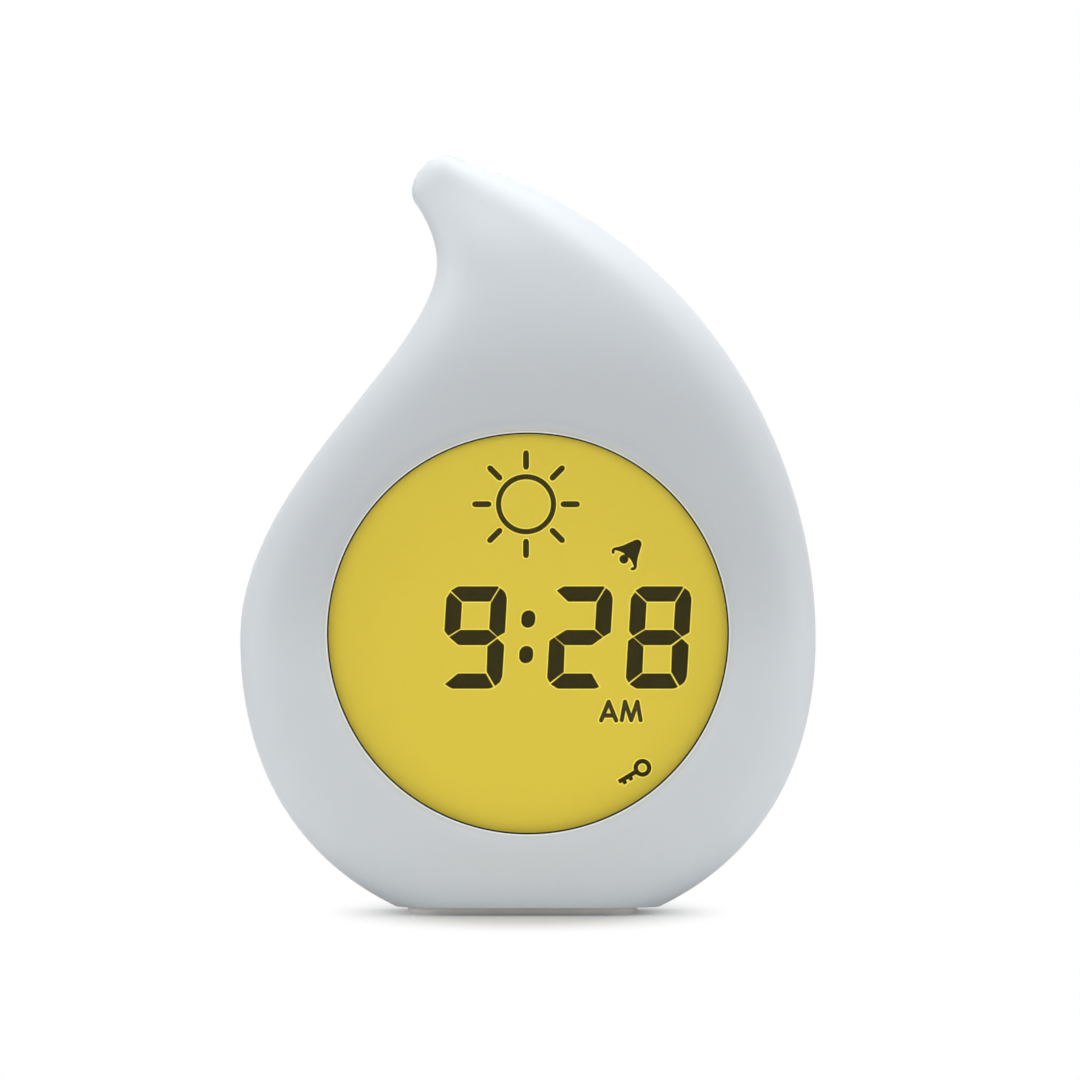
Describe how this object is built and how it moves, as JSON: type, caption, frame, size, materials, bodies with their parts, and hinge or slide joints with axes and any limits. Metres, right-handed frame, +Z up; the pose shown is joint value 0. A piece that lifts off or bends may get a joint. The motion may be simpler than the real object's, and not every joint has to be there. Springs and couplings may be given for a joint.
{
  "type": "kids alarm clock with night light",
  "caption": "Drop-shaped white night-light alarm clock with a curled tip, a round yellow-lit digital display, keys and a battery door on its flat back, and a soft foot.",
  "frame": {"origin": "on the surface that the clock stands on, under the split line between its shells and on the display's vertical centre line", "axes": "+Z up, -Y the way the display faces, +X to the right for someone who looks at the display"},
  "size_m": [0.115, 0.0452, 0.1513],
  "materials": {
    "milky_shell": "milky translucent moulding, fine matt",
    "key_plastic": "satin, light grey",
    "soft_foot": "soft, matt",
    "seal_foam": "matt foam",
    "window": "clear acrylic",
    "display_glass": "lit yellow, satin polariser",
    "light_guide": "clear acrylic, printed back",
    "white_sheet": "white film",
    "board": "green solder mask",
    "white_board": "white solder mask",
    "inner_white": "moulded, satin",
    "black_plastic": "satin black",
    "steel": "nickel plated",
    "magnet": "sintered, dark",
    "cone": "black film",
    "capacitor_sleeve": "dark blue sleeve",
    "lamp": "clear epoxy",
    "contact_rubber": "striped silicone",
    "cell_sleeve": "plain dark sleeve",
    "lead": "flexible insulation"
  },
  "bodies": {
    "housing": {"front_shell": "milky_shell", "rear_cover": "milky_shell", "base_foot": "soft_foot", "display_gasket": "seal_foam", "display_lens": "window", "lcd_panel": "display_glass", "light_guide": "light_guide", "reflector_sheet": "white_sheet", "backlight_leds": "board", "lcd_connector": "contact_rubber", "display_frame": "inner_white", "frame_screws": "steel", "main_board": "board", "chip_blob": "black_plastic", "quartz_crystal": "steel", "capacitors": "capacitor_sleeve", "board_connectors": "inner_white", "board_screws": "steel", "night_light_board": "white_board", "night_light_leds": "lamp", "night_light_screws": "steel", "key_board": "board", "tact_switches": "black_plastic", "alarm_switch_body": "black_plastic", "usb_socket": "steel", "key_board_screws": "steel", "speaker_frame": "steel", "speaker_cone": "cone", "speaker_magnet": "magnet", "speaker_gasket": "seal_foam", "battery_cells": "cell_sleeve", "battery_springs": "steel", "battery_plates": "steel", "housing_screws": "steel", "speaker_lead": "lead", "battery_lead": "lead", "key_ribbon": "lead", "light_lead": "lead"},
    "light_button": {"light_button": "key_plastic"},
    "alarm_button": {"alarm_button": "key_plastic"},
    "set_button": {"set_button": "key_plastic"},
    "plus_button": {"plus_button": "key_plastic"},
    "minus_button": {"minus_button": "key_plastic"},
    "alarm_switch_knob": {"alarm_switch_knob": "key_plastic"},
    "battery_door": {"battery_door": "milky_shell"},
    "battery_door_screw": {"battery_door_screw": "steel"}
  },
  "joints": [
    {"name": "light_press", "type": "slide", "parent": "housing", "child": "light_button", "axis": [0, -1, 0], "range_m": [0, 0.0008], "stiffness_N_per_m": 1500},
    {"name": "alarm_press", "type": "slide", "parent": "housing", "child": "alarm_button", "axis": [0, -1, 0], "range_m": [0, 0.0008], "stiffness_N_per_m": 1500},
    {"name": "set_press", "type": "slide", "parent": "housing", "child": "set_button", "axis": [0, -1, 0], "range_m": [0, 0.0008], "stiffness_N_per_m": 1500},
    {"name": "plus_press", "type": "slide", "parent": "housing", "child": "plus_button", "axis": [0, -1, 0], "range_m": [0, 0.0008], "stiffness_N_per_m": 1500},
    {"name": "minus_press", "type": "slide", "parent": "housing", "child": "minus_button", "axis": [0, -1, 0], "range_m": [0, 0.0008], "stiffness_N_per_m": 1500},
    {"name": "alarm_switch_slide", "type": "slide", "parent": "housing", "child": "alarm_switch_knob", "axis": [1, 0, 0], "range_m": [0, 0.004]},
    {"name": "battery_door_hinge", "type": "hinge", "parent": "housing", "child": "battery_door", "pos_m": [0, 0.0209, 0.0527], "axis": [1, 0, 0], "range_deg": [0, 60]},
    {"name": "door_screw_turn", "type": "hinge", "parent": "battery_door", "child": "battery_door_screw", "pos_m": [0, 0.02, 0.0156], "axis": [0, 1, 0], "continuous": true}
  ]
}
